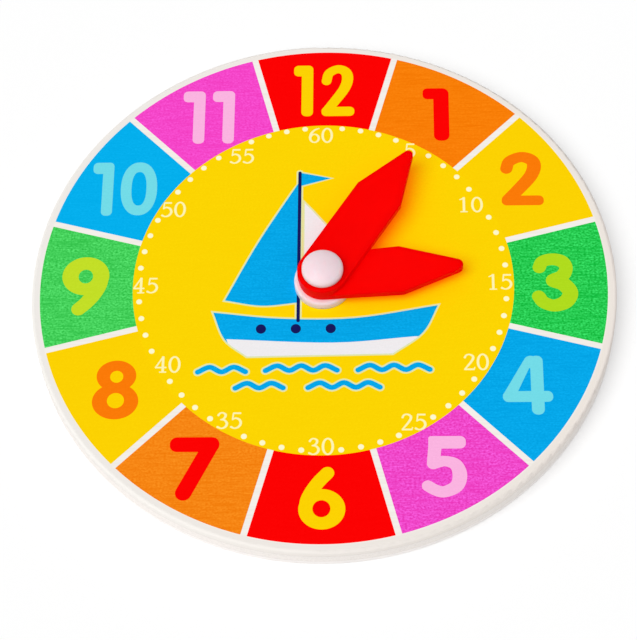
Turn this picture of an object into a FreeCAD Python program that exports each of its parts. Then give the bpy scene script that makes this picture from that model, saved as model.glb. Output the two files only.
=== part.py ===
"""Toy teaching clock: a printed plywood disc with two hands on a snap-in plastic pivot.

Lengths are in millimetres and angles in degrees. The origin is the centre of the board's
back face. +Z points out of the dial, +Y to 12 o'clock and +X to 3 o'clock.
"""
import FreeCAD, Part
import math
import os

import Sketcher

LENGTHS = {
    # Board, three glued plies
    "board_diameter": 110.0,
    "front_ply_thickness": 1.5,
    "core_ply_thickness": 2.2,
    "back_ply_thickness": 1.5,
    "front_rim_rounding": 0.6,
    "back_rim_bevel": 0.5,
    # Flanged sleeve, put in from behind
    "sleeve_diameter": 5.0,
    "sleeve_bore": 3.0,
    "sleeve_mouth_chamfer": 0.25,
    "flange_diameter": 9.0,
    "flange_thickness": 1.2,
    "flange_bevel": 0.25,
    "counterbore_gap": 0.25,
    # Ring that lifts the hands off the print
    "spacer_diameter": 10.8,
    "spacer_height": 1.85,
    "spacer_bevel": 0.3,
    # Both hands
    "hand_thickness": 1.6,
    "hand_edge_bevel": 0.15,
    "shoulder_rounding": 0.6,
    # Minute hand
    "minute_reach": 31.25,
    "minute_shoulder_reach": 19.9,
    "minute_shoulder_width": 9.55,
    "minute_tail_diameter": 9.5,
    "minute_tip_radius": 0.9,
    # Hour hand
    "hour_reach": 26.35,
    "hour_shoulder_reach": 14.7,
    "hour_shoulder_width": 9.9,
    "hour_tail_diameter": 9.1,
    "hour_tip_radius": 1.2,
    # Domed cap
    "cap_diameter": 7.75,
    "cap_wall_height": 1.1,
    "cap_crown_rise": 1.2,
    "cap_edge_rounding": 1.0,
    # Split pin under the cap
    "pin_recess": 0.4,
    "pin_chamfer": 0.4,
    "pin_slot_width": 0.8,
    "pin_slot_depth": 4.5,
    "bead_height": 0.2,
    "bead_inset": 1.0,
    "bead_lead": 0.8,
    "bead_return": 0.35,
    # Clearances and cuts
    "running_clearance": 0.05,
    "axial_play": 0.08,
    "pin_clearance": 0.05,
    "cut_overrun": 1.0,
}

# Directions of the hands, clockwise from 12 o'clock
ANGLES = {
    "minute_hand_degrees": 32.3,
    "hour_hand_degrees": 85.1,
}

# How near two sizes have to be for an edge to count as the one that is looked for
TOLERANCE = 1e-6

# The sketcher's numbers for its own axes, and for the points of a line or an arc
H_AXIS, V_AXIS = range(-1, -3, -1)
START, END, CENTRE = range(1, 4)
ORIGIN_POINT = (H_AXIS, START)


class Length:
    """A number of millimetres, with the formula that gives it from the sheet."""

    def __init__(self, number, formula):
        self.number = number
        self.formula = formula

    def __add__(self, other):
        return Length(self.number + other.number, "(%s + %s)" % (self.formula, other.formula))

    def __sub__(self, other):
        return Length(self.number - other.number, "(%s - %s)" % (self.formula, other.formula))

    def __mul__(self, factor):
        return Length(self.number * factor, "(%s * %s)" % (self.formula, factor))

    def __truediv__(self, divisor):
        return Length(self.number / divisor, "(%s / %s)" % (self.formula, divisor))


ZERO = Length(0.0, "0")


def size(name):
    """A driving length of the sheet."""
    return Length(LENGTHS[name], "sizes." + name)


def make_sheet(document):
    """Put the driving dimensions in a spreadsheet, one alias each."""
    sheet = document.addObject("Spreadsheet::Sheet", "sizes")
    for row, (name, number) in enumerate({**LENGTHS, **ANGLES}.items(), start=1):
        sheet.set("A%d" % row, name)
        sheet.set("B%d" % row, str(number))
        sheet.setAlias("B%d" % row, name)
    document.recompute()


def new_body(label):
    """A body that holds one physical piece."""
    body = doc.addObject("PartDesign::Body", label)
    body.Label = label
    return body


def new_sketch(body, name, plane_role):
    """A sketch on one of the body's own origin planes."""
    sketch = body.newObject("Sketcher::SketchObject", name)
    planes = [plane for plane in body.Origin.OriginFeatures if plane.Role == plane_role]
    sketch.AttachmentSupport = [(planes[0], "")]
    sketch.MapMode = "FlatFace"
    return sketch


def dimension(sketch, kind, places, length, name):
    """Add a dimension and bind it to its formula."""
    sketch.addConstraint(Sketcher.Constraint(kind, *places, length.number))
    sketch.renameConstraint(sketch.ConstraintCount - 1, name)
    sketch.setExpression("Constraints." + name, length.formula)


def place_point(sketch, geometry, point, across, up, name):
    """Dimension a point from the sketch's origin, or put it on an axis."""
    if across is ZERO:
        sketch.addConstraint(Sketcher.Constraint("PointOnObject", geometry, point, V_AXIS))
    else:
        dimension(sketch, "DistanceX", (*ORIGIN_POINT, geometry, point), across, name + "_across")
    if up is ZERO:
        sketch.addConstraint(Sketcher.Constraint("PointOnObject", geometry, point, H_AXIS))
    else:
        dimension(sketch, "DistanceY", (*ORIGIN_POINT, geometry, point), up, name + "_up")


def add_circle(sketch, radius, name):
    """A circle about the sketch's origin."""
    circle = Part.Circle(FreeCAD.Vector(), FreeCAD.Vector(0, 0, 1), radius.number)
    index = sketch.addGeometry(circle)
    sketch.addConstraint(Sketcher.Constraint("Coincident", index, CENTRE, *ORIGIN_POINT))
    dimension(sketch, "Radius", (index,), radius, name)


def pad(body, sketch, thickness):
    """Thicken a sketch upwards."""
    feature = body.newObject("PartDesign::Pad", body.Label + "_pad")
    feature.Profile = sketch
    feature.setExpression("Length", thickness.formula)
    sketch.Visibility = False
    doc.recompute()
    return feature


def round_edges(body, name, base, edges, radius):
    """Round the named edges of the feature below."""
    feature = body.newObject("PartDesign::Fillet", name)
    feature.Base = (base, edges)
    feature.setExpression("Radius", radius.formula)
    doc.recompute()
    return feature


def bevel_edges(body, name, base, edges, width):
    """Bevel the named edges of the feature below at 45 degrees."""
    feature = body.newObject("PartDesign::Chamfer", name)
    feature.Base = (base, edges)
    feature.setExpression("Size", width.formula)
    doc.recompute()
    return feature


def circular_edges(feature, radius, height):
    """Names of the feature's circular edges of this radius at this height."""
    names = []
    for index, edge in enumerate(feature.Shape.Edges, start=1):
        if edge.Degenerated or not isinstance(edge.Curve, Part.Circle):
            continue
        same_radius = abs(edge.Curve.Radius - radius.number) < TOLERANCE
        same_height = abs(edge.Curve.Center.z - height.number) < TOLERANCE
        if same_radius and same_height:
            names.append("Edge%d" % index)
    return names


def lift(body, height):
    """Stand the piece at this height over the board's back face."""
    body.Placement = FreeCAD.Placement(FreeCAD.Vector(0, 0, height.number), FreeCAD.Rotation())
    body.setExpression(".Placement.Base.z", height.formula)


def ring(label, outer_radius, inner_radius, thickness):
    """A flat ring: its body and its pad."""
    body = new_body(label)
    sketch = new_sketch(body, label + "_outline", "XY_Plane")
    add_circle(sketch, outer_radius, "outer_radius")
    add_circle(sketch, inner_radius, "inner_radius")
    return body, pad(body, sketch, thickness)


def revolve(label, corners, crown=None):
    """Turn a closed outline of radius and height pairs about the upright axis.

    Straight lines join the corners. crown is the number of a corner from which an arc,
    centred on the axis, runs to the next corner instead of a line.
    """
    body = new_body(label)
    sketch = new_sketch(body, label + "_profile", "XZ_Plane")
    points = [FreeCAD.Vector(across.number, up.number, 0) for across, up in corners]
    for index, point in enumerate(points):
        following = points[(index + 1) % len(points)]
        if index == crown:
            sketch.addGeometry(crown_arc(point, following))
            sketch.addConstraint(Sketcher.Constraint("PointOnObject", index, CENTRE, V_AXIS))
        else:
            sketch.addGeometry(Part.LineSegment(point, following))
    for index, (across, up) in enumerate(corners):
        previous = (index - 1) % len(corners)
        sketch.addConstraint(Sketcher.Constraint("Coincident", previous, END, index, START))
        place_point(sketch, index, START, across, up, "corner%d" % index)
    feature = body.newObject("PartDesign::Revolution", label + "_turned")
    feature.Profile = sketch
    feature.ReferenceAxis = (sketch, ["V_Axis"])
    feature.Angle = 360
    sketch.Visibility = False
    doc.recompute()
    return body, feature


def crown_arc(rim, top):
    """The arc from the rim up to the top of a dome, centred on the axis."""
    rise = top.y - rim.y
    radius = (rim.x ** 2 + rise ** 2) / (2 * rise)
    centre = FreeCAD.Vector(0, top.y - radius, 0)
    circle = Part.Circle(centre, FreeCAD.Vector(0, 0, 1), radius)
    return Part.ArcOfCircle(circle, math.atan2(rim.y - centre.y, rim.x), math.pi / 2)


# Sizes and places that the driving ones give

board_radius = size("board_diameter") / 2
board_thickness = (
    size("back_ply_thickness") + size("core_ply_thickness") + size("front_ply_thickness")
)
sleeve_radius = size("sleeve_diameter") / 2
sleeve_bore_radius = size("sleeve_bore") / 2
running_bore_radius = sleeve_radius + size("running_clearance")
flange_radius = size("flange_diameter") / 2
counterbore_radius = flange_radius + size("counterbore_gap")

# The flange seats on the core ply, inside the back ply's wider hole
sleeve_base = size("back_ply_thickness") - size("flange_thickness")
hour_hand_base = board_thickness + size("spacer_height") + size("axial_play")
minute_hand_base = hour_hand_base + size("hand_thickness") + size("axial_play")
# The cap stops on the sleeve's upper end, just clear of the minute hand
cap_base = minute_hand_base + size("hand_thickness") + size("axial_play")
sleeve_length = cap_base - sleeve_base

pin_radius = sleeve_bore_radius - size("pin_clearance")
pin_base = sleeve_base + size("pin_recess")
pin_length = cap_base - pin_base
bead_low = size("bead_inset")
bead_peak = bead_low + size("bead_lead")
bead_high = bead_peak + size("bead_return")


def front_ply():
    """Face ply, with the dial's side rounded at the rim."""
    thickness = size("front_ply_thickness")
    body, base = ring("front_ply", board_radius, running_bore_radius, thickness)
    rim = circular_edges(base, board_radius, thickness)
    round_edges(body, "front_rim", base, rim, size("front_rim_rounding"))
    lift(body, size("back_ply_thickness") + size("core_ply_thickness"))
    return body


def core_ply():
    """Middle ply, a plain ring that shows as a layer in the rim."""
    thickness = size("core_ply_thickness")
    body, _ = ring("core_ply", board_radius, running_bore_radius, thickness)
    lift(body, size("back_ply_thickness"))
    return body


def back_ply():
    """Rear ply, bevelled at the rim, whose wider hole takes the sleeve's flange."""
    thickness = size("back_ply_thickness")
    body, base = ring("back_ply", board_radius, counterbore_radius, thickness)
    rim = circular_edges(base, board_radius, ZERO)
    bevel_edges(body, "back_rim", base, rim, size("back_rim_bevel"))
    return body


def rear_sleeve():
    """Flanged tube that the hands turn on, with a groove inside for the pin's bead."""
    # Heights in the sleeve's own frame are the pin's, moved by how far the pin is recessed
    recess = size("pin_recess")
    groove_low = recess + bead_low - size("pin_clearance")
    groove_peak = recess + bead_peak
    groove_high = recess + bead_high + size("pin_clearance")
    groove_radius = sleeve_bore_radius + size("bead_height")
    mouth_radius = sleeve_bore_radius + size("sleeve_mouth_chamfer")
    mouth_height = sleeve_length - size("sleeve_mouth_chamfer")
    corners = [
        (sleeve_bore_radius, ZERO),
        (flange_radius, ZERO),
        (flange_radius, size("flange_thickness")),
        (sleeve_radius, size("flange_thickness")),
        (sleeve_radius, sleeve_length),
        (mouth_radius, sleeve_length),
        (sleeve_bore_radius, mouth_height),
        (sleeve_bore_radius, groove_high),
        (groove_radius, groove_peak),
        (sleeve_bore_radius, groove_low),
    ]
    body, base = revolve("rear_sleeve", corners)
    edge = circular_edges(base, flange_radius, ZERO)
    bevel_edges(body, "flange_edge", base, edge, size("flange_bevel"))
    lift(body, sleeve_base)
    return body


def hand_spacer():
    """White ring between the print and the hour hand."""
    height = size("spacer_height")
    radius = size("spacer_diameter") / 2
    body, base = ring("hand_spacer", radius, running_bore_radius, height)
    edge = circular_edges(base, radius, height)
    bevel_edges(body, "spacer_edge", base, edge, size("spacer_bevel"))
    lift(body, board_thickness)
    return body


def hand_outline(sketch, reach, shoulder_reach, shoulder_width, tail_radius, tip_radius):
    """Round tail about the pivot, sides to two shoulders, and tapers to a small round tip.

    The starting geometry is worked out so that every join is already tangent.
    """
    shoulder = FreeCAD.Vector(shoulder_width.number / 2, shoulder_reach.number, 0)
    tip_centre = FreeCAD.Vector(0, reach.number - tip_radius.number, 0)
    up = FreeCAD.Vector(0, 0, 1)

    # Angles from the +Y direction at which the side and the taper leave their arcs
    side_lean = math.atan2(shoulder.x, shoulder.y)
    tail_angle = side_lean + math.acos(tail_radius.number / shoulder.Length)
    taper = shoulder - tip_centre
    tip_angle = math.atan2(taper.x, taper.y) - math.acos(tip_radius.number / taper.Length)

    quarter = math.pi / 2
    tail_circle = Part.Circle(FreeCAD.Vector(), up, tail_radius.number)
    tip_circle = Part.Circle(tip_centre, up, tip_radius.number)
    tail_arc = Part.ArcOfCircle(tail_circle, quarter + tail_angle, 5 * quarter - tail_angle)
    tip_arc = Part.ArcOfCircle(tip_circle, quarter - tip_angle, quarter + tip_angle)
    far_shoulder = FreeCAD.Vector(-shoulder.x, shoulder.y, 0)

    tail = sketch.addGeometry(tail_arc)
    side = sketch.addGeometry(Part.LineSegment(tail_arc.EndPoint, shoulder))
    slope = sketch.addGeometry(Part.LineSegment(shoulder, tip_arc.StartPoint))
    tip = sketch.addGeometry(tip_arc)
    far_slope = sketch.addGeometry(Part.LineSegment(tip_arc.EndPoint, far_shoulder))
    far_side = sketch.addGeometry(Part.LineSegment(far_shoulder, tail_arc.StartPoint))

    for constraint in (
        Sketcher.Constraint("Coincident", tail, CENTRE, *ORIGIN_POINT),
        Sketcher.Constraint("PointOnObject", tip, CENTRE, V_AXIS),
        Sketcher.Constraint("Tangent", tail, END, side, START),
        Sketcher.Constraint("Coincident", side, END, slope, START),
        Sketcher.Constraint("Tangent", slope, END, tip, START),
        Sketcher.Constraint("Tangent", tip, END, far_slope, START),
        Sketcher.Constraint("Coincident", far_slope, END, far_side, START),
        Sketcher.Constraint("Tangent", far_side, END, tail, START),
        Sketcher.Constraint("Symmetric", side, END, far_slope, END, V_AXIS),
    ):
        sketch.addConstraint(constraint)
    dimension(sketch, "Radius", (tail,), tail_radius, "tail_radius")
    dimension(sketch, "Radius", (tip,), tip_radius, "tip_radius")
    dimension(sketch, "DistanceY", (*ORIGIN_POINT, tip, CENTRE), reach - tip_radius, "tip_centre")
    place_point(sketch, side, END, shoulder_width / 2, shoulder_reach, "shoulder")


def outline_edges(feature, height, bore_radius):
    """Names of the edges round the outside of a flat piece at this height."""
    names = []
    for index, edge in enumerate(feature.Shape.Edges, start=1):
        level = all(abs(vertex.Z - height.number) < TOLERANCE for vertex in edge.Vertexes)
        is_arc = isinstance(edge.Curve, Part.Circle)
        is_bore = is_arc and abs(edge.Curve.Radius - bore_radius.number) < TOLERANCE
        if level and not is_bore:
            names.append("Edge%d" % index)
    return names


def shoulder_edges(feature, shoulder_width, shoulder_reach):
    """Names of the two upright edges at a hand's shoulders."""
    names = []
    for index, edge in enumerate(feature.Shape.Edges, start=1):
        start, end = edge.Vertexes[0].Point, edge.Vertexes[-1].Point
        upright = (start - end).Length > TOLERANCE and abs(start.z - end.z) > TOLERANCE
        beside = abs(abs(start.x) - shoulder_width.number / 2) < TOLERANCE
        level = abs(start.y - shoulder_reach.number) < TOLERANCE
        if upright and beside and level:
            names.append("Edge%d" % index)
    return names


def hand(which, base_height):
    """A flat hand with softened edges, turned to the time that it shows."""
    body = new_body(which + "_hand")
    sketch = new_sketch(body, which + "_outline", "XY_Plane")
    thickness = size("hand_thickness")
    shoulder_width = size(which + "_shoulder_width")
    shoulder_reach = size(which + "_shoulder_reach")
    hand_outline(
        sketch,
        size(which + "_reach"),
        shoulder_reach,
        shoulder_width,
        size(which + "_tail_diameter") / 2,
        size(which + "_tip_radius"),
    )
    add_circle(sketch, running_bore_radius, "bore_radius")
    base = pad(body, sketch, thickness)

    corners = shoulder_edges(base, shoulder_width, shoulder_reach)
    rounded = round_edges(body, which + "_shoulders", base, corners, size("shoulder_rounding"))
    faces = outline_edges(rounded, ZERO, running_bore_radius)
    faces += outline_edges(rounded, thickness, running_bore_radius)
    bevel_edges(body, which + "_edges", rounded, faces, size("hand_edge_bevel"))

    lift(body, base_height)
    turn = FreeCAD.Rotation(FreeCAD.Vector(0, 0, 1), -ANGLES[which + "_hand_degrees"])
    body.Placement = FreeCAD.Placement(body.Placement.Base, turn)
    body.setExpression(".Placement.Rotation.Angle", "-sizes.%s_hand_degrees" % which)
    return body


def pivot_cap():
    """Domed cap on a slotted pin, whose bead snaps into the sleeve."""
    cap_radius = size("cap_diameter") / 2
    wall_top = pin_length + size("cap_wall_height")
    corners = [
        (ZERO, ZERO),
        (pin_radius - size("pin_chamfer"), ZERO),
        (pin_radius, size("pin_chamfer")),
        (pin_radius, bead_low),
        (pin_radius + size("bead_height"), bead_peak),
        (pin_radius, bead_high),
        (pin_radius, pin_length),
        (cap_radius, pin_length),
        (cap_radius, wall_top),
        (ZERO, wall_top + size("cap_crown_rise")),
    ]
    body, base = revolve("pivot_cap", corners, crown=8)
    rim = circular_edges(base, cap_radius, wall_top)
    rounded = round_edges(body, "cap_edge", base, rim, size("cap_edge_rounding"))
    split_pin(body, rounded)
    lift(body, pin_base)
    return body


def split_pin(body, solid):
    """Cut the slot that lets the pin's two legs spring together."""
    half_width = size("pin_slot_width") / 2
    depth = size("pin_slot_depth")
    overrun = size("cut_overrun")
    sketch = new_sketch(body, "slot_outline", "XZ_Plane")
    low_left = FreeCAD.Vector(-half_width.number, -overrun.number, 0)
    low_right = FreeCAD.Vector(half_width.number, -overrun.number, 0)
    top_right = FreeCAD.Vector(half_width.number, depth.number, 0)
    top_left = FreeCAD.Vector(-half_width.number, depth.number, 0)
    loop = [low_left, low_right, top_right, top_left]
    for index, point in enumerate(loop):
        sketch.addGeometry(Part.LineSegment(point, loop[(index + 1) % len(loop)]))
    for index in range(len(loop)):
        following = (index + 1) % len(loop)
        sketch.addConstraint(Sketcher.Constraint("Coincident", index, END, following, START))
    sketch.addConstraint(Sketcher.Constraint("Horizontal", 0))
    sketch.addConstraint(Sketcher.Constraint("Vertical", 1))
    sketch.addConstraint(Sketcher.Constraint("Vertical", 3))
    sketch.addConstraint(Sketcher.Constraint("Symmetric", 2, START, 2, END, V_AXIS))
    dimension(sketch, "DistanceX", (0, START, 0, END), size("pin_slot_width"), "slot_width")
    dimension(sketch, "DistanceY", (*ORIGIN_POINT, 2, START), depth, "slot_depth")
    dimension(sketch, "DistanceY", (0, START, *ORIGIN_POINT), overrun, "slot_overrun")
    doc.recompute()

    slot = body.newObject("PartDesign::Pocket", "pin_slot")
    slot.Profile = sketch
    slot.Type = "ThroughAll"
    slot.SideType = "Symmetric"
    sketch.Visibility = False
    doc.recompute()
    if slot.Shape.Volume >= solid.Shape.Volume:
        raise RuntimeError("the pin's slot cuts nothing")


def check_model(pieces):
    """Stop before anything is written if a feature failed or a solid isn't sound."""
    for item in doc.Objects:
        if "Invalid" in item.State or "Error" in item.State:
            raise RuntimeError("%s: %s" % (item.Name, item.State))
    for piece in pieces:
        if piece.Shape.isNull() or not piece.Shape.isValid():
            raise RuntimeError("%s has no sound shape" % piece.Label)
        if len(piece.Shape.Solids) != 1:
            raise RuntimeError("%s is not one solid" % piece.Label)


doc = FreeCAD.newDocument("teaching_clock")
make_sheet(doc)

all_pieces = [
    front_ply(),
    core_ply(),
    back_ply(),
    rear_sleeve(),
    hand_spacer(),
    hand("hour", hour_hand_base),
    hand("minute", minute_hand_base),
    pivot_cap(),
]
doc.recompute()
check_model(all_pieces)

os.makedirs("parts", exist_ok=True)
for each in all_pieces:
    each.Shape.exportStep("parts/%s.step" % each.Label)
    print("%-12s %9.2f mm3" % (each.Label, each.Shape.Volume))
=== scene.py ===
"""Looks of the toy teaching clock: the print on the dial, the plies, the plastic, the light.

The print is laid out in millimetres as it is seen from the front, with its own centre as
origin, x to 3 o'clock and y to 12 o'clock. Blender's own lengths are metres.
"""
import math

import bpy
import numpy as np
from mathutils import Matrix, Vector, geometry


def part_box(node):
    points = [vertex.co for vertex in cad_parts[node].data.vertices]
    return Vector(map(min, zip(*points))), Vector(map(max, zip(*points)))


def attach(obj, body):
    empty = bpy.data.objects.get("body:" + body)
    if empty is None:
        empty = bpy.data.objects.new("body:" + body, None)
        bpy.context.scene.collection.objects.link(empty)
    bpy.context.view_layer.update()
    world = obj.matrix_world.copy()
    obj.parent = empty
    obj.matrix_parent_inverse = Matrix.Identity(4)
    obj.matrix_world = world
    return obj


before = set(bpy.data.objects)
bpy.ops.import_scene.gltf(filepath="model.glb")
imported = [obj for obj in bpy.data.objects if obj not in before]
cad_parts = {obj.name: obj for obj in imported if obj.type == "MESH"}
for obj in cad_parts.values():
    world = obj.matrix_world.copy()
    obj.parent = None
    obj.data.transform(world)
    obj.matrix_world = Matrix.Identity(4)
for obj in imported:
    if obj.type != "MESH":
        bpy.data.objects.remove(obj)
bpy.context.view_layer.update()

MM = 0.001

# Camera, aimed at a point of the dial's face, in millimetres and degrees
CAMERA_AIM = (-0.84, -7.70)
CAMERA_DISTANCE = 442.7
CAMERA_AZIMUTH = 3.455
CAMERA_ELEVATION = 60.526
CAMERA_ROLL = -3.481
CAMERA_LENS = 133.55
CAMERA_SENSOR = 36.0

# Light: one broad soft key from the front left, and the room
KEY_AZIMUTH = 228.0
KEY_ELEVATION = 60.0
KEY_SPREAD = 50.0
KEY_STRENGTH = 2.08
ROOM_STRENGTH = 0.42

# Floor, in millimetres: how far it lies under the board, and its two radii
FLOOR_GAP = 0.02
FLOOR_OPENING = 53.0
FLOOR_REACH = 4000.0
# How much of the floor's colour, as the camera sees it, is the white backdrop's
BACKDROP_SHARE = 0.35

# Where the print's centre lies from the board's, and how its inks lie on each other
PRINT_SHIFT = (-0.05, 0.05)
SECTOR_INK_TOP = 0.010
DISC_INK_TOP = 0.018
FIGURE_INK_TOP = 0.026
SECOND_INK_TOP = 0.034
THIRD_INK_TOP = 0.042

# Dial layout
HOURS = 12
MINUTES = 60
DISC_RADIUS = 35.85
SECTOR_RADIUS = 53.35
SECTOR_TUCK = 0.2
SEPARATOR_WIDTH = 1.2
DOT_RADIUS = 0.54
DOT_RING = (34.6, 35.1)
DOT_RING_CENTRE = (-0.1, 0.15)
NUMERAL_SCALE = 0.99
SPACER_OVERLAP = 0.05

# Degrees between the points of a round stretch, and steps between those of a smooth line
ARC_STEP = 6.0
FINE_ARC_STEP = 1.0
COARSE_ARC_STEP = 15.0
SPLINE_STEPS = 6
# Millimetres within which the points of two outlines count as one
JOIN_DISTANCE = 1e-4
# Least square of the sum of two edges' normals, so that a sharp corner doesn't grow into a spike
LEAST_MITRE = 0.5


def srgb(red, green, blue):
    """A colour as it is seen on a screen, 0 to 255, as Blender's linear one."""
    shares = np.array([red, green, blue]) / 255
    linear = np.where(shares <= 0.04045, shares / 12.92, ((shares + 0.055) / 1.055) ** 2.4)
    return (*linear.tolist(), 1.0)


# Inks, in levels from 0 to 255. The inks of the fields at 7, 9 and 10 and of the numeral 9, on the
# board's left, are painted paler than their partners across the dial: painted light
RED = (254, 0, 0)
ORANGE = (254, 129, 8)
ORANGE_PAINTED_LIGHT = (255, 136, 19)
NUMERAL_ORANGE = (252, 123, 7)
YELLOW = (254, 211, 0)
GREEN = (30, 205, 79)
GREEN_PAINTED_LIGHT = (68, 211, 91)
BLUE = (2, 170, 236)
BLUE_PAINTED_LIGHT = (3, 177, 239)
MAGENTA = (255, 72, 205)
DISC_YELLOW = (254, 214, 0)
LIME = (177, 221, 30)
LIME_PAINTED_LIGHT = (196, 224, 39)
PALE_CYAN = (116, 221, 233)
PALE_PINK = (252, 181, 226)
CREAM = (255, 250, 205)
FIGURE_CREAM = (255, 246, 182)
ART_WHITE = (240, 238, 240)
NAVY = (22, 26, 92)
KEYLINE = (226, 232, 172)

# By how many levels the veneer's fine grain and long lines mark the dense inks
DENSE_MARKS = (3, 2)

# Each field's ink, and by how many levels both mark it
FIELDS = {
    12: (RED, DENSE_MARKS),
    1: (ORANGE, (7, 10)),
    2: (YELLOW, DENSE_MARKS),
    3: (GREEN, (36, 22)),
    4: (BLUE, (9, 9)),
    5: (MAGENTA, (27, 18)),
    6: (RED, DENSE_MARKS),
    # The fields at 7, 9 and 10 take paler inks: painted light on the board's left
    7: (ORANGE_PAINTED_LIGHT, (13, 14)),
    8: (YELLOW, DENSE_MARKS),
    9: (GREEN_PAINTED_LIGHT, (28, 18)),
    10: (BLUE_PAINTED_LIGHT, (5, 4)),
    11: (MAGENTA, (16, 12)),
}
# The hour numerals' inks. An hour that isn't here has the ink of the one across the dial
NUMERAL_COLOURS = {
    12: YELLOW,
    1: RED,
    2: NUMERAL_ORANGE,
    3: LIME,
    4: PALE_CYAN,
    5: PALE_PINK,
    # The 9 takes a paler lime than the 3: painted light on the board's left
    9: LIME_PAINTED_LIGHT,
}


# Lines and outlines, as arrays of points in millimetres


def arc(centre, radii, start, end, step):
    """An elliptical arc, in degrees anticlockwise from 3 o'clock."""
    count = max(2, math.ceil(abs(end - start) / step)) + 1
    turn = np.radians(np.linspace(start, end, count))
    return np.array(centre) + np.stack([radii[0] * np.cos(turn), radii[1] * np.sin(turn)], 1)


def oval(centre, radii, squareness=2.0, step=ARC_STEP):
    """A closed ellipse, or a squarer one."""
    turn = np.radians(np.arange(0, 360, step))
    unit = np.stack([np.cos(turn), np.sin(turn)], 1)
    unit = np.sign(unit) * np.abs(unit) ** (2 / squareness)
    return np.array(centre) + np.array(radii) * unit


def box(left, low, right, high, radius):
    """A rectangle with rounded corners."""
    corners = (
        (right - radius, high - radius, 0),
        (left + radius, high - radius, 90),
        (left + radius, low + radius, 180),
        (right - radius, low + radius, 270),
    )
    rounded = [
        arc((x, y), (radius, radius), start, start + 90, COARSE_ARC_STEP)
        for x, y, start in corners
    ]
    return np.concatenate(rounded)


def smooth(points):
    """A smooth line through the given points, by Catmull and Rom's formula."""
    line = np.array(points, float)
    if len(line) == 2:
        return line
    padded = np.concatenate([[2 * line[0] - line[1]], line, [2 * line[-1] - line[-2]]])
    share = (np.arange(SPLINE_STEPS) / SPLINE_STEPS)[:, None]
    pieces = []
    for before, here, after, beyond in zip(padded, padded[1:], padded[2:], padded[3:]):
        pieces.append(
            here
            + share / 2 * (after - before)
            + share ** 2 * (before - 2.5 * here + 2 * after - beyond / 2)
            + share ** 3 * (1.5 * (here - after) + (beyond - before) / 2)
        )
    return np.concatenate([*pieces, line[-1:]])


def stroke(*points):
    """The outline of a pen stroke with round ends. A point is x, y and the pen's width."""
    line = smooth(points)
    place, half = line[:, :2], line[:, 2:] / 2
    heading = np.gradient(place, axis=0)
    heading /= np.linalg.norm(heading, axis=1)[:, None]
    aside = np.stack([-heading[:, 1], heading[:, 0]], 1) * half
    angle = np.degrees(np.arctan2(heading[:, 1], heading[:, 0]))
    end_cap = arc(place[-1], (half[-1, 0],) * 2, angle[-1] + 90, angle[-1] - 90, COARSE_ARC_STEP)
    start_cap = arc(place[0], (half[0, 0],) * 2, angle[0] - 90, angle[0] - 270, COARSE_ARC_STEP)
    left, right = place + aside, place - aside
    return np.concatenate([left[:-1], end_cap, right[::-1][1:-1], start_cap[:-1]])


def grown(outline, distance):
    """An outline moved outwards all round."""
    following = np.roll(outline, -1, 0) - outline
    following /= np.linalg.norm(following, axis=1)[:, None]
    normal = np.stack([following[:, 1], -following[:, 0]], 1)
    x, y = outline.T
    area = np.sum(x * np.roll(y, -1) - y * np.roll(x, -1))
    normal *= np.sign(area)
    both = normal + np.roll(normal, 1, 0)
    mitre = both / np.maximum(np.sum(both ** 2, 1), LEAST_MITRE)[:, None] * 2
    return outline + mitre * distance


def moved(outlines, across, up, scale=1.0):
    """Outlines, each scaled and shifted."""
    return [outline * scale + np.array([across, up]) for outline in outlines]


def turns_round(points, outline):
    """How often an outline goes round each point."""
    start, end = outline, np.roll(outline, -1, 0)
    count = np.zeros(len(points), int)
    for (x0, y0), (x1, y1) in zip(start, end):
        side = (x1 - x0) * (points[:, 1] - y0) - (points[:, 0] - x0) * (y1 - y0)
        count += (y0 <= points[:, 1]) & (y1 > points[:, 1]) & (side > 0)
        count -= (y0 > points[:, 1]) & (y1 <= points[:, 1]) & (side < 0)
    return count


FACE_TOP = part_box("front_ply")[1].z
SPACER_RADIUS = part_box("hand_spacer")[1].x / MM
# The inks stop just inside the edge of the ring under the hands, which stands on the bare face
PIVOT_HOLE = oval(
    -np.array(PRINT_SHIFT), (SPACER_RADIUS - SPACER_OVERLAP,) * 2, step=FINE_ARC_STEP
)


def in_scene(name, data):
    """A new object in the scene, from its mesh, lamp or camera."""
    added = bpy.data.objects.new(name, data)
    bpy.context.scene.collection.objects.link(added)
    return added


def triangulated(inked, cut):
    """Points and triangles that fill the outlines inked but for those that are cut."""
    outlines = [*inked, *cut]
    places, edges = [], []
    for outline in outlines:
        first = len(places)
        places += [Vector(place) for place in outline.tolist()]
        ends = list(range(first + 1, len(places))) + [first]
        edges += list(zip(range(first, len(places)), ends))
    found = geometry.delaunay_2d_cdt(places, edges, [], 0, JOIN_DISTANCE, False)
    flat = np.array([tuple(place) for place in found[0]])
    triangles = np.array(found[2])
    middle = flat[triangles].mean(1)
    kept = np.zeros(len(triangles), bool)
    for outline in inked:
        kept |= turns_round(middle, outline) != 0
    for outline in cut:
        kept &= turns_round(middle, outline) == 0
    triangles = triangles[kept]
    used, triangles = np.unique(triangles, return_inverse=True)
    return flat[used], triangles.reshape(-1, 3)


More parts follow.
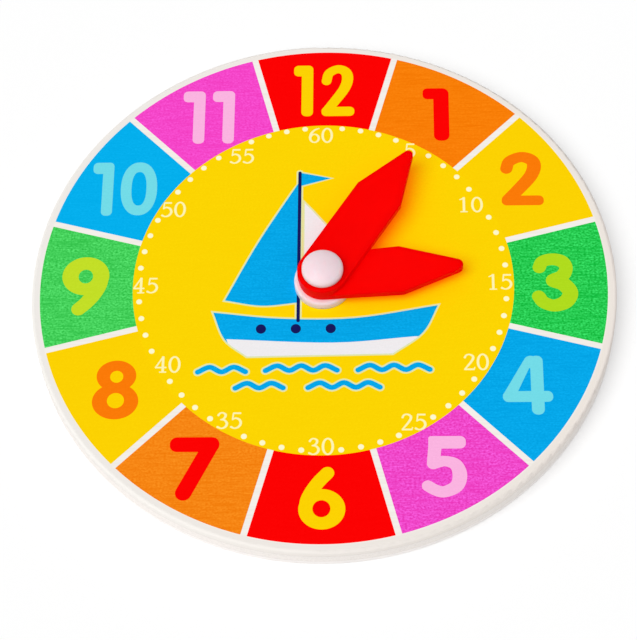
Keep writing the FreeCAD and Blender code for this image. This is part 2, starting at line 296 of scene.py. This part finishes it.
def ink(name, inked, cut, base, top, material):
    """A closed film of ink on the face, between two heights above it in millimetres."""
    flat, triangles = triangulated(inked, cut)
    flat = (flat + np.array(PRINT_SHIFT)) * MM
    count = len(flat)
    heights = (FACE_TOP + base * MM, FACE_TOP + top * MM)
    vertices = np.concatenate([np.insert(flat, 2, height, axis=1) for height in heights])
    sides = np.concatenate([triangles, np.roll(triangles, -1, 1), np.roll(triangles, -2, 1)])
    directed = {(int(a), int(b)) for a, b in zip(sides[:, 0], sides[:, 1])}
    faces = (triangles + count).tolist() + triangles[:, ::-1].tolist()
    faces += [(a, b, b + count, a + count) for a, b in sorted(directed) if (b, a) not in directed]
    mesh = bpy.data.meshes.new(name)
    mesh.from_pydata(vertices.tolist(), [], faces)
    mesh.validate()
    mesh.materials.append(material)
    film = in_scene(name, mesh)
    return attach(film, "board")


# Hour numerals, each digit about its own centre


def one(width, pen, half=6.25):
    """A stem with a flag to its left."""
    flag = 2.6
    stem_corner, flag_corner = pen * 0.42, flag * 0.36
    flag_end = width / 2 - pen * 0.2
    stem = box(width / 2 - pen, -half, width / 2, half, stem_corner)
    arm = box(-width / 2, half - flag, flag_end, half, flag_corner)
    return [stem, arm], []


def two(narrowing, pen, half_foot):
    """A hook, a diagonal and a foot. The hook's widths are shares of the pen's."""
    top, left_drop, right_drop = 6.15, 1.0, 0.7
    crown = top - pen / 2
    hook = [
        (-2.95, 2.3, 1.0),
        (-2.3, crown - left_drop, 1.0),
        (-0.05, crown, 1.0),
        (1.95, crown - right_drop, 1.1),
        (2.45, 2.7, 1.15),
        (1.6, 0.4, 1.1),
        (-0.7, -2.45, 1.05),
        (-2.85, -4.85, 1.0),
    ]
    line = stroke(*[(x * narrowing, y, share * pen) for x, y, share in hook])
    foot_low, foot_high, foot_corner = -6.13, -3.93, 0.95
    return [line, box(-half_foot, foot_low, half_foot, foot_high, foot_corner)], []


def three():
    """Two bowls that meet in a middle arm."""
    upper = stroke(
        (-2.75, 3.3, 2.5),
        (-2.1, 4.6, 2.5),
        (-0.2, 5.1, 2.6),
        (1.6, 4.6, 2.7),
        (2.33, 3.15, 2.55),
        (1.6, 1.45, 2.7),
        (-0.1, 0.4, 3.0),
    )
    lower = stroke(
        (-0.1, 0.4, 3.0),
        (1.7, -0.4, 3.0),
        (2.93, -2.25, 2.95),
        (2.0, -4.2, 2.9),
        (-0.2, -5.05, 2.6),
        (-2.2, -4.3, 2.6),
        (-3.05, -3.05, 2.6),
    )
    return [upper, lower], []


def four():
    """A stem, a bar across it and a slope to its left."""
    slope = stroke((-3.48, -2.33, 2.2), (0.05, 4.62, 1.6))
    apex = oval((0.75, 4.85), (1.3, 1.3))
    stem = box(0.65, -6.15, 3.0, 6.15, 1.1)
    bar = box(-4.6, -3.5, 4.65, -1.25, 1.0)
    return [slope, apex, stem, bar], []


def five():
    """A bar, a short stem and an open bowl."""
    bar = box(-2.8, 3.65, 4.05, 6.2, 1.05)
    corner = box(-2.8, 3.65, 0.0, 6.2, 0.5)
    stem = stroke((-1.55, 4.6, 2.45), (-1.95, 0.65, 2.35))
    bowl = stroke(
        (-1.95, 0.65, 2.3),
        (-0.9, 0.95, 2.2),
        (0.4, 1.1, 2.1),
        (2.15, 0.35, 2.4),
        (2.83, -1.7, 2.65),
        (2.2, -3.9, 2.5),
        (0.0, -5.03, 2.25),
        (-1.6, -4.7, 2.2),
        (-3.0, -3.85, 2.2),
    )
    return [bar, corner, stem, bowl], []


def six():
    """A ring under a stem that leans to the right."""
    stem = stroke(
        (1.0, 4.95, 2.5),
        (-0.5, 3.3, 2.5),
        (-1.75, 1.5, 2.5),
        (-2.65, -0.4, 2.5),
        (-2.95, -2.2, 2.4),
    )
    return [stem, oval((0.02, -2.25), (4.25, 4.0))], [oval((-0.05, -2.15), (1.62, 1.68))]


def seven():
    """A bar, and a slope from its right end."""
    return [box(-4.55, 3.35, 4.55, 6.35, 1.35), stroke((3.1, 4.85, 2.95), (-1.75, -4.95, 3.0))], []


def eight():
    """Two rings, the lower one larger."""
    rings = [oval((0.02, 2.9), (3.7, 3.25)), oval((0.02, -2.43), (4.3, 3.72))]
    return rings, [oval((0.08, 2.74), (1.24, 1.27)), oval((0.08, -2.26), (1.6, 1.6))]


def nine():
    """A ring over a stem that leans to the left."""
    stem = stroke(
        (-1.0, -5.05, 2.75),
        (0.4, -3.65, 2.8),
        (1.6, -1.95, 3.0),
        (2.6, 0.05, 3.0),
        (2.95, 2.15, 3.1),
    )
    return [stem, oval((0, 2.2), (4.5, 4.2))], [oval((0, 2.1), (1.38, 1.52))]


def zero():
    """A tall narrow ring."""
    return [oval((0, 0), (3.55, 6.1), 2.2)], [oval((0, 0), (1.45, 3.87), 2.4)]


# Each hour's centre, and its digits with how far each stands aside of that centre
HOUR_NUMERALS = {
    12: ((-0.05, 44.15), [(one(3.85, 2.3, 6.12), -4.12), (two(0.775, 1.95, 3.25), 2.75)]),
    1: ((21.86, 38.22), [(one(5.15, 3.05), 0)]),
    2: ((38.11, 23.12), [(two(1.0, 2.35, 4.05), 0)]),
    3: ((43.4, -0.08), [(three(), 0)]),
    4: ((37.59, -21.8), [(four(), 0)]),
    5: ((22.04, -38.25), [(five(), 0)]),
    6: ((0.06, -44.3), [(six(), 0)]),
    7: ((-23.1, -38.3), [(seven(), 0)]),
    8: ((-38.03, -22.15), [(eight(), 0)]),
    9: ((-44.86, 0.0), [(nine(), 0)]),
    10: ((-38.34, 21.65), [(one(4.1, 2.15, 6.12), -4.38), (zero(), 2.7)]),
    11: ((-22.71, 38.1), [(one(4.4, 2.3), -2.9), (one(4.4, 2.3), 2.95)]),
}

# Minute numerals: thin and thick strokes with fine feet, each digit about its own centre
THIN = 0.28
THICK = 0.46
FOOT = (-1.7, -1.46)
FINE_CORNER = 0.08


def foot(left, right):
    """A fine foot on the base line."""
    return box(left, FOOT[0], right, FOOT[1], FINE_CORNER)


MINUTE_DIGITS = {
    "0": ([oval((0, 0), (1.12, 1.75))], [oval((0, 0), (0.66, 1.42))]),
    "1": (
        [
            box(-0.23, -1.65, 0.23, 1.68, FINE_CORNER),
            stroke((-0.75, 1.15, 0.2), (-0.35, 1.32, THIN), (0.0, 1.55, 0.3)),
            foot(-0.7, 0.7),
        ],
        [],
    ),
    "2": (
        [
            stroke(
                (-0.78, 0.95, 0.4),
                (-0.5, 1.42, 0.32),
                (0.05, 1.58, THIN),
                (0.65, 1.25, 0.42),
                (0.72, 0.7, THICK),
                (0.2, -0.2, 0.4),
                (-0.82, -1.5, THIN),
            ),
            box(-0.95, -1.7, 0.95, -1.36, 0.1),
            stroke((0.88, -1.5, THIN), (1.02, -1.12, 0.16)),
        ],
        [],
    ),
    "3": (
        [
            stroke(
                (-0.78, 1.1, 0.4),
                (-0.45, 1.5, 0.3),
                (0.05, 1.58, THIN),
                (0.52, 1.25, 0.42),
                (0.48, 0.75, 0.42),
                (0.1, 0.32, 0.3),
                (-0.32, 0.18, 0.22),
            ),
            stroke(
                (-0.3, 0.18, 0.22),
                (0.4, 0.05, 0.34),
                (0.82, -0.62, THICK),
                (0.5, -1.32, 0.4),
                (-0.2, -1.58, THIN),
                (-0.88, -1.32, 0.4),
            ),
        ],
        [],
    ),
    "4": (
        [
            stroke((0.32, 1.58, THIN), (-0.98, -0.6, THIN)),
            box(-1.1, -0.78, 1.0, -0.48, FINE_CORNER),
            box(0.12, -1.65, 0.58, 1.72, FINE_CORNER),
            foot(-0.32, 1.0),
        ],
        [],
    ),
    "5": (
        [
            box(-0.62, 1.32, 0.9, 1.66, 0.1),
            stroke((-0.52, 1.45, 0.26), (-0.66, 0.2, 0.26)),
            stroke(
                (-0.66, 0.22, 0.26),
                (-0.1, 0.48, 0.32),
                (0.6, 0.15, 0.42),
                (0.84, -0.6, THICK),
                (0.45, -1.3, 0.4),
                (-0.25, -1.58, THIN),
                (-0.9, -1.32, 0.4),
            ),
        ],
        [],
    ),
    "6": (
        [
            stroke(
                (0.88, 1.62, 0.2),
                (0.1, 1.3, 0.34),
                (-0.62, 0.45, THICK),
                (-0.84, -0.5, THICK),
            ),
            oval((0.03, -0.65), (1.05, 1.08)),
        ],
        [oval((0.03, -0.65), (0.6, 0.8))],
    ),
}
# How far apart a numeral's digits stand, and each minute's centre
MINUTE_PITCH = 2.5
MINUTE_NUMERALS = {
    60: (-0.65, 33.55),
    5: (16.65, 29.8),
    10: (28.1, 17.3),
    15: (33.2, 0.15),
    20: (28.3, -16.9),
    25: (16.7, -29.2),
    30: (-0.15, -34.05),
    35: (-16.9, -28.65),
    40: (-28.6, -16.95),
    45: (-33.4, 0.0),
    50: (-28.8, 16.85),
    55: (-15.9, 28.9),
}


# Materials

# Finishes: a roughness and a level of gloss
INK_FINISH = (0.5, 0.01)
WOOD_FINISH = (0.6, 0.1)
WHITE_FINISH = (0.35, 0.2)
RED_FINISH = (0.4, 0.03)
FLOOR_FINISH = (0.9, 0.0)

# Noises: cells a metre along each axis, the values that become 0 and 1, and the detail
FLECKS = ((2300.0, 2900.0, 2300.0), (0.3, 0.7), 2.0)
LINES = ((260.0, 4200.0, 260.0), (0.45, 0.75), 2.0)
CLOUDS = ((260.0, 260.0, 260.0), (0.3, 0.8), 2.0)
SATIN = ((2200.0, 2200.0, 2200.0), (0.3, 0.7), 2.0)
LONG_STREAKS = ((70.0, 2400.0, 2400.0), (0.4, 0.75), 4.0)
CROSS_STREAKS = ((2400.0, 70.0, 2400.0), (0.4, 0.75), 4.0)

# Relief: its depth in millimetres on ink and plastic and on wood, and the bump's strength
FINE_RELIEF = 0.004
WOOD_RELIEF = 0.02
RELIEF_STRENGTH = 0.5


def new_material(name, colour, finish):
    """A principled material, with its node tree and shader."""
    material = bpy.data.materials.new(name)
    material.use_nodes = True
    tree = material.node_tree
    shader = tree.nodes["Principled BSDF"]
    roughness, gloss = finish
    shader.inputs["Base Color"].default_value = colour
    shader.inputs["Roughness"].default_value = roughness
    shader.inputs["Specular IOR Level"].default_value = gloss
    return material, tree, shader


def coordinates(tree):
    """Where each place of a piece is, in metres."""
    return tree.nodes.new("ShaderNodeTexCoord").outputs["Object"]


def coordinate(tree, axis):
    """How far each place of a piece is along X, Y or Z, in metres."""
    axes = tree.nodes.new("ShaderNodeSeparateXYZ")
    tree.links.new(coordinates(tree), axes.inputs["Vector"])
    return axes.outputs[axis]


def calculated(tree, operation, value, number=0.0):
    """The result of a calculation with a value, and with a number where it takes two."""
    node = tree.nodes.new("ShaderNodeMath")
    node.operation = operation
    node.inputs[1].default_value = number
    tree.links.new(value, node.inputs[0])
    return node.outputs["Value"]


def share_between(tree, value, start, end):
    """How far a value has come from the start to the end, kept from 0 to 1."""
    share = tree.nodes.new("ShaderNodeMapRange")
    share.inputs["From Min"].default_value = start
    share.inputs["From Max"].default_value = end
    tree.links.new(value, share.inputs["Value"])
    return share.outputs["Result"]


def grain(tree, cells, spread, detail):
    """A noise with this many cells a metre along each axis, spread from 0 to 1."""
    mapping = tree.nodes.new("ShaderNodeMapping")
    mapping.inputs["Scale"].default_value = cells
    noise = tree.nodes.new("ShaderNodeTexNoise")
    noise.inputs["Scale"].default_value = 1.0
    noise.inputs["Detail"].default_value = detail
    tree.links.new(coordinates(tree), mapping.inputs["Vector"])
    tree.links.new(mapping.outputs["Vector"], noise.inputs["Vector"])
    return share_between(tree, noise.outputs["Fac"], *spread)


def blend_colours(tree, factor, first, second):
    """A colour between two others, each a colour or a socket."""
    mix = tree.nodes.new("ShaderNodeMix")
    mix.data_type = "RGBA"
    tree.links.new(factor, mix.inputs["Factor"])
    for name, colour in (("A", first), ("B", second)):
        socket = [each for each in mix.inputs if each.name == name and each.type == "RGBA"][0]
        if isinstance(colour, bpy.types.NodeSocket):
            tree.links.new(colour, socket)
        else:
            socket.default_value = colour
    return [each for each in mix.outputs if each.type == "RGBA"][0]


def bump(tree, height, shader, depth):
    """Relief from a height between 0 and 1, this many millimetres deep."""
    node = tree.nodes.new("ShaderNodeBump")
    node.inputs["Distance"].default_value = depth * MM
    node.inputs["Strength"].default_value = RELIEF_STRENGTH
    tree.links.new(height, node.inputs["Height"])
    tree.links.new(node.outputs["Normal"], shader.inputs["Normal"])


def ray_is(tree, kind):
    """1 for the light rays of one kind, and 0 for all others."""
    return tree.nodes.new("ShaderNodeLightPath").outputs[kind]


def mix_shaders(tree, factor, first, second, output):
    """Leads two shaders to the output: the first at a factor of 0, the second at 1."""
    mix = tree.nodes.new("ShaderNodeMixShader")
    tree.links.new(factor, mix.inputs["Fac"])
    tree.links.new(first, mix.inputs[1])
    tree.links.new(second, mix.inputs[2])
    tree.links.new(mix.outputs["Shader"], tree.nodes[output].inputs["Surface"])


def shaded(colour, share):
    """The same colour, darker."""
    return (*[channel * share for channel in colour[:3]], 1.0)


def stepped(levels, step):
    """A colour whose channels are this many levels higher than the given ones, or lower."""
    return srgb(*[min(max(level + step, 0), 255) for level in levels])


def ink_material(name, levels, marks=DENSE_MARKS):
    """Printed ink, through which the fine grain and long lines of the veneer show."""
    fine, long = marks
    material, tree, shader = new_material(name, srgb(*levels), INK_FINISH)
    flecks = grain(tree, *FLECKS)
    flecked = blend_colours(tree, flecks, stepped(levels, -fine), stepped(levels, fine))
    lines = grain(tree, *LINES)
    lined = blend_colours(tree, lines, flecked, stepped(levels, -long))
    tree.links.new(lined, shader.inputs["Base Color"])
    bump(tree, flecks, shader, FINE_RELIEF)
    return material


# The print


def print_sectors():
    """Twelve coloured fields, between which the bare veneer shows."""
    inner = DISC_RADIUS - SECTOR_TUCK
    half_sector = 180 / HOURS
    for hour in range(1, HOURS + 1):
        middle = 90 - hour * 360 / HOURS
        edges = []
        for radius, side in ((SECTOR_RADIUS, 1), (inner, -1)):
            inset = math.degrees(math.asin(SEPARATOR_WIDTH / 2 / radius))
            half = (half_sector - inset) * side
            edges.append(arc((0, 0), (radius, radius), middle - half, middle + half, FINE_ARC_STEP))
        material = ink_material("ink_sector_%02d" % hour, *FIELDS[hour])
        ink("sector_%02d" % hour, [np.concatenate(edges)], [], 0, SECTOR_INK_TOP, material)


def print_disc():
    """The yellow disc in the middle."""
    disc = oval((0, 0), (DISC_RADIUS, DISC_RADIUS), step=FINE_ARC_STEP)
    yellow = ink_material("ink_disc", DISC_YELLOW)
    ink("disc", [disc], [PIVOT_HOLE], SECTOR_INK_TOP, DISC_INK_TOP, yellow)


def print_minutes():
    """The ring of minute dots, and the small numerals that stand in it every five minutes."""
    cream = ink_material("ink_cream", CREAM)
    figures = ink_material("ink_minute_figures", FIGURE_CREAM)
    dots = []
    for minute in range(MINUTES):
        if minute % (MINUTES // HOURS):
            turn = math.radians(minute * 360 / MINUTES)
            across = DOT_RING_CENTRE[0] + DOT_RING[0] * math.sin(turn)
            up = DOT_RING_CENTRE[1] + DOT_RING[1] * math.cos(turn)
            dots.append(oval((across, up), (DOT_RADIUS, DOT_RADIUS), step=COARSE_ARC_STEP))
    ink("minute_dots", dots, [], DISC_INK_TOP, FIGURE_INK_TOP, cream)
    for minute, (across, up) in MINUTE_NUMERALS.items():
        digits = str(minute)
        inked, cut = [], []
        for index, digit in enumerate(digits):
            aside = across + (index - (len(digits) - 1) / 2) * MINUTE_PITCH
            inked += moved(MINUTE_DIGITS[digit][0], aside, up)
            cut += moved(MINUTE_DIGITS[digit][1], aside, up)
        ink("minute_numeral_%02d" % minute, inked, cut, DISC_INK_TOP, FIGURE_INK_TOP, figures)


def print_hours():
    """The large hour numerals."""
    for hour, ((across, up), digits) in HOUR_NUMERALS.items():
        pair = hour if hour in NUMERAL_COLOURS else hour - HOURS // 2 or HOURS
        material = ink_material("ink_hour_%02d" % hour, NUMERAL_COLOURS[pair])
        inked, cut = [], []
        for (solid, hole), aside in digits:
            place = (across + aside * NUMERAL_SCALE, up, NUMERAL_SCALE)
            inked += moved(solid, *place)
            cut += moved(hole, *place)
        ink("hour_numeral_%02d" % hour, inked, cut, SECTOR_INK_TOP, FIGURE_INK_TOP, material)


# The picture in the middle: a sailing boat on two rows of waves, edged with a pale line

KEYLINE_WIDTH = 0.32

# Where the mast stands, its foot and top, where the sails run beside it, and the corners at
# which the boat's lines meet
MAST = -4.6
MAST_HALF_WIDTH = 0.32
MAST_ENDS = (-8.2, 25.2)
MAST_CORNER = 0.3
SAIL_EDGE = MAST - 0.3
JIB_EDGE = MAST + 1.0
BOW_TOP = (21.5, -4.8)
STERN_TOP = (-20.5, -6.0)
SAIL_CORNER = (-18.4, -3.4)
JIB_CORNER = (16.0, 0.2)

# Each wave's left end, the low of its line, and its number of crests, with what all have alike
WAVES = (
    (-23.0, -18.6, 2),
    (-10.5, -18.4, 3),
    (6.6, -18.4, 3),
    (-16.0, -22.0, 2),
    (-2.6, -22.0, 3),
)
CREST_LENGTH = 4.4
CREST_HEIGHT = 1.0
WAVE_PEN = 1.05

PORTHOLES = (-11.5, -5.0, 1.5)
PORTHOLE_HEIGHT = -9.6
PORTHOLE_RADII = (0.95, 1.0)


def wave(left, low, crests):
    """A few round crests as one pen stroke."""
    points = []
    for index in range(2 * crests + 1):
        rise = CREST_HEIGHT if index % 2 else 0
        points.append((left + index * CREST_LENGTH / 2, low + rise, WAVE_PEN))
    return stroke(*points)


def boat_hull():
    """The hull's outline, and that of the white boot below its waterline."""
    sheer = smooth([STERN_TOP, (-8.0, -7.4), (6.0, -7.4), BOW_TOP])
    bow = smooth([BOW_TOP, (18.6, -10.6), (13.0, -15.0)])
    stern = smooth([(-14.0, -15.4), (-18.2, -11.8), STERN_TOP])
    waterline = smooth([(17.2, -11.4), (2.0, -12.6), (-17.9, -11.7)])
    hull = np.concatenate([sheer[:-1], bow, stern[:-1]])
    # Below the waterline lie the stern's first stretch and the bow's last one
    low_stern, low_bow = stern[:SPLINE_STEPS], bow[SPLINE_STEPS + 1 :]
    return hull, np.concatenate([waterline, low_stern[::-1], low_bow[::-1]])


def boat_sails():
    """The outlines of the sail behind the mast and of the jib before it."""
    sail = smooth([(SAIL_EDGE, 22.5), (-12.2, 9.5), SAIL_CORNER])
    sail_foot = smooth([SAIL_CORNER, (-11.5, -4.6), (SAIL_EDGE, -4.0)])
    jib = smooth([(JIB_EDGE, 18.0), (5.0, 8.0), JIB_CORNER])
    jib_foot = smooth([JIB_CORNER, (6.0, -1.6), (JIB_EDGE, -1.4)])
    return np.concatenate([sail[:-1], sail_foot]), np.concatenate([jib[:-1], jib_foot])


def print_boat():
    """The boat and its waves, over the pale line that edges them."""
    blue = ink_material("ink_boat_blue", *FIELDS[4])
    white = ink_material("ink_boat_white", ART_WHITE)
    navy = ink_material("ink_boat_navy", NAVY)
    pale = ink_material("ink_keyline", KEYLINE)

    hull, boot = boat_hull()
    sail, jib = boat_sails()
    low, high = MAST_ENDS
    mast = box(MAST - MAST_HALF_WIDTH, low, MAST + MAST_HALF_WIDTH, high, MAST_CORNER)
    pennant = np.array([(MAST + 0.2, 24.9), (MAST + 0.2, 21.9), (1.4, 23.6)])
    waves = [wave(*place) for place in WAVES]
    portholes = [
        oval((across, PORTHOLE_HEIGHT), PORTHOLE_RADII, step=COARSE_ARC_STEP)
        for across in PORTHOLES
    ]

    solid = [hull, sail, jib, mast, pennant, *waves]
    edged = [grown(outline, KEYLINE_WIDTH) for outline in solid]
    cut = [PIVOT_HOLE]
    ink("art_keyline", edged, cut, DISC_INK_TOP, FIGURE_INK_TOP, pale)
    ink("art_blue", [hull, sail, pennant, *waves], cut, FIGURE_INK_TOP, SECOND_INK_TOP, blue)
    ink("art_jib", [jib], cut, FIGURE_INK_TOP, SECOND_INK_TOP, white)
    ink("art_boot", [boot], cut, SECOND_INK_TOP, THIRD_INK_TOP, white)
    ink("art_navy", [mast, *portholes], cut, SECOND_INK_TOP, THIRD_INK_TOP, navy)


# The veneers

# The face between the fields, and its streaks
WOOD_FACE = srgb(246, 242, 236)
WOOD_SHADE = srgb(239, 232, 224)
# The bare margin outside the print at the board's left and right, painted darker towards the right
# as painted shade where less light falls, and the millimetres in which its tone sets in
MARGIN_LEFT_PAINTED_LIGHT = srgb(240, 236, 231)
MARGIN_RIGHT_PAINTED_SHADE = srgb(238, 230, 222)
MARGIN_BLEND = 0.3
# The rounded rim at the left and right, painted darker on the left against the lamp's highlight and
# lighter on the right against its shade: painted shade and painted light. Its tone sets in this
# many millimetres from the edge, and is full at half of that
RIM_LEFT_PAINTED_SHADE = srgb(239, 236, 231)
RIM_RIGHT_PAINTED_LIGHT = srgb(242, 233, 226)
RIM_REACH = 0.7
# The two veneers behind, how dark their streaks are, and the glue with its reach in millimetres
PLY_FACE = srgb(252, 247, 244)
CORE_FACE = srgb(246, 240, 235)
STREAK_SHADE = 0.9
GLUE = srgb(215, 206, 199)
GLUE_REACH = 0.14


def wood_material(name, colour, shade, streaks):
    """Pale veneer with long fine streaks: the material, its tree, shader and colour."""
    material, tree, shader = new_material(name, colour, WOOD_FINISH)
    streak = grain(tree, *streaks)
    streaked = blend_colours(tree, streak, colour, shade)
    tree.links.new(streaked, shader.inputs["Base Color"])
    bump(tree, streak, shader, WOOD_RELIEF)
    return material, tree, shader, streaked


def beyond(tree, start, end):
    """How far out from the board's axis a place is, from 0 at the start to 1 at the end."""
    flat = tree.nodes.new("ShaderNodeVectorMath")
    flat.operation = "MULTIPLY"
    flat.inputs[1].default_value = (1, 1, 0)
    radius = tree.nodes.new("ShaderNodeVectorMath")
    radius.operation = "LENGTH"
    tree.links.new(coordinates(tree), flat.inputs[0])
    tree.links.new(flat.outputs["Vector"], radius.inputs[0])
    return share_between(tree, radius.outputs["Value"], start, end)


def face_material():
    """The printed veneer. Its margin and rim have tones from left to right that are painted light
    and shade.
    """
    material, tree, shader, streaked = wood_material(
        "front_veneer", WOOD_FACE, WOOD_SHADE, LONG_STREAKS
    )
    margin = SECTOR_RADIUS * MM
    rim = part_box("front_ply")[1].x
    rightward = share_between(tree, coordinate(tree, "X"), -rim, rim)
    unprinted = beyond(tree, margin, margin + MARGIN_BLEND * MM)
    # Painted shade: the bare margin grows darker from the board's left to its right
    bare = blend_colours(tree, rightward, MARGIN_LEFT_PAINTED_LIGHT, MARGIN_RIGHT_PAINTED_SHADE)
    outside = blend_colours(tree, unprinted, streaked, bare)
    rounded = beyond(tree, rim - RIM_REACH * MM, rim - RIM_REACH * MM / 2)
    # Painted shade and light on the rounded rim: darker at the left, lighter at the right
    edge = blend_colours(tree, rightward, RIM_LEFT_PAINTED_SHADE, RIM_RIGHT_PAINTED_LIGHT)
    toned = blend_colours(tree, rounded, outside, edge)
    tree.links.new(toned, shader.inputs["Base Color"])
    return material


def core_material():
    """The middle veneer, with a thin darker line of glue along both its faces."""
    low, high = [corner.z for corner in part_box("core_ply")]
    material, tree, shader, streaked = wood_material(
        "core_veneer", CORE_FACE, shaded(CORE_FACE, STREAK_SHADE), CROSS_STREAKS
    )
    offset = calculated(tree, "SUBTRACT", coordinate(tree, "Z"), (low + high) / 2)
    distance = calculated(tree, "ABSOLUTE", offset)
    half = (high - low) / 2
    line = share_between(tree, distance, half - GLUE_REACH * MM, half)
    glued = blend_colours(tree, line, streaked, GLUE)
    tree.links.new(glued, shader.inputs["Base Color"])
    return material


def back_material():
    """The rear veneer, which is bare."""
    shade = shaded(PLY_FACE, STREAK_SHADE)
    return wood_material("back_veneer", PLY_FACE, shade, LONG_STREAKS)[0]


# The plastics

WHITE_PLASTIC = srgb(243, 222, 228)
RED_PLASTIC = srgb(*RED)
CLOUD_SHADE = 0.96
# How far light scatters inside, in millimetres, and the share of that for red, green and blue
WHITE_SCATTER = (1.5, (1.0, 0.7, 0.75))
RED_SCATTER = (2.0, (1.0, 0.05, 0.05))
# The share of red light that goes on through the hands
LIGHT_PASSED = 0.8


def plastic_material(name, colour, finish, scatter):
    """Moulded plastic that lets light in, with a faint mottle and a fine satin grain."""
    material, tree, shader = new_material(name, colour, finish)
    cloudy = grain(tree, *CLOUDS)
    toned = blend_colours(tree, cloudy, colour, shaded(colour, CLOUD_SHADE))
    tree.links.new(toned, shader.inputs["Base Color"])
    bump(tree, grain(tree, *SATIN), shader, FINE_RELIEF)
    reach, shares = scatter
    shader.inputs["Subsurface Weight"].default_value = 1.0
    shader.inputs["Subsurface Radius"].default_value = shares
    shader.inputs["Subsurface Scale"].default_value = reach * MM
    return material, tree, shader


def white_plastic():
    """Pinkish white plastic."""
    return plastic_material("white_plastic", WHITE_PLASTIC, WHITE_FINISH, WHITE_SCATTER)[0]


def red_plastic():
    """Clear red plastic: light shines on through it, and turns red."""
    material, tree, shader = plastic_material(
        "red_plastic", RED_PLASTIC, RED_FINISH, RED_SCATTER
    )
    through = tree.nodes.new("ShaderNodeBsdfTransparent")
    through.inputs["Color"].default_value = shaded(RED_PLASTIC, LIGHT_PASSED)
    shadow = ray_is(tree, "Is Shadow Ray")
    mix_shaders(tree, shadow, shader.outputs["BSDF"], through.outputs["BSDF"], "Material Output")
    return material


def dress_frame():
    """Materials of the solids that are shown as they are."""
    red = red_plastic()
    white = white_plastic()
    looks = {
        "front_ply": face_material(),
        "core_ply": core_material(),
        "back_ply": back_material(),
        "rear_sleeve": white,
        "hand_spacer": white,
        "pivot_cap": white,
        "hour_hand": red,
        "minute_hand": red,
    }
    for node, material in looks.items():
        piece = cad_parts[node]
        piece.data.materials.clear()
        piece.data.materials.append(material)


# Floor, light and camera

WHITE = srgb(255, 255, 255)
# The strength at which the camera sees the backdrop as white
BACKDROP_STRENGTH = 1.0


def floor_material():
    """A white that takes the object's shadow, and that the camera sees mixed with the backdrop."""
    material, tree, shader = new_material("floor", WHITE, FLOOR_FINISH)
    backdrop = tree.nodes.new("ShaderNodeEmission")
    backdrop.inputs["Strength"].default_value = BACKDROP_STRENGTH
    seen = calculated(tree, "MULTIPLY", ray_is(tree, "Is Camera Ray"), BACKDROP_SHARE)
    mix_shaders(tree, seen, shader.outputs["BSDF"], backdrop.outputs["Emission"], "Material Output")
    return material


def make_floor():
    """A plain pale floor, open under the board, whose back is seen through it from below."""
    reaches = (FLOOR_OPENING, FLOOR_REACH)
    rings = [oval((0, 0), (reach, reach), step=FINE_ARC_STEP) for reach in reaches]
    places = np.insert(np.concatenate(rings), 2, -FLOOR_GAP, axis=1) * MM
    count = len(rings[0])
    following = np.roll(np.arange(count), -1).tolist()
    faces = [(a, a + count, b + count, b) for a, b in enumerate(following)]
    mesh = bpy.data.meshes.new("floor")
    mesh.from_pydata(places.tolist(), [], faces)
    mesh.materials.append(floor_material())
    floor = in_scene("floor", mesh)


def away(azimuth, elevation):
    """Direction from the object, clockwise from 12 o'clock seen from above, in degrees."""
    turn, lift = math.radians(azimuth), math.radians(elevation)
    flat = math.cos(lift)
    return Vector((flat * math.sin(turn), flat * math.cos(turn), math.sin(lift)))


def make_key():
    """A broad soft sun."""
    key = bpy.data.lights.new("key", "SUN")
    key.angle = math.radians(KEY_SPREAD)
    key.energy = KEY_STRENGTH
    lamp = in_scene("key", key)
    lamp.rotation_mode = "QUATERNION"
    lamp.rotation_quaternion = away(KEY_AZIMUTH, KEY_ELEVATION).to_track_quat("Z", "Y")


def make_room():
    """A white room that lights the object, in which the camera sees the white backdrop."""
    world = bpy.data.worlds.new("room")
    bpy.context.scene.world = world
    world.use_nodes = True
    tree = world.node_tree
    room = tree.nodes["Background"]
    backdrop = tree.nodes.new("ShaderNodeBackground")
    for background, strength in ((room, ROOM_STRENGTH), (backdrop, BACKDROP_STRENGTH)):
        background.inputs["Color"].default_value = WHITE
        background.inputs["Strength"].default_value = strength
    mix_shaders(
        tree,
        ray_is(tree, "Is Camera Ray"),
        room.outputs["Background"],
        backdrop.outputs["Background"],
        "World Output",
    )


def make_camera():
    """The photograph's view, from the front and above."""
    data = bpy.data.cameras.new("camera")
    data.sensor_width = CAMERA_SENSOR
    data.lens = CAMERA_LENS
    back = away(180 - CAMERA_AZIMUTH, CAMERA_ELEVATION)
    aim = Vector((CAMERA_AIM[0] * MM, CAMERA_AIM[1] * MM, FACE_TOP))
    turn = back.to_track_quat("Z", "Y").to_matrix()
    roll = Matrix.Rotation(math.radians(CAMERA_ROLL), 3, "Z")
    camera = in_scene("camera", data)
    camera.matrix_world = Matrix.LocRotScale(
        aim + back * CAMERA_DISTANCE * MM, (turn @ roll).to_quaternion(), None
    )
    bpy.context.scene.camera = camera


print_sectors()
print_disc()
print_minutes()
print_hours()
print_boat()
dress_frame()
make_floor()
make_key()
make_room()
make_camera()
bpy.context.scene.view_settings.view_transform = "Standard"

bpy.context.view_layer.update()
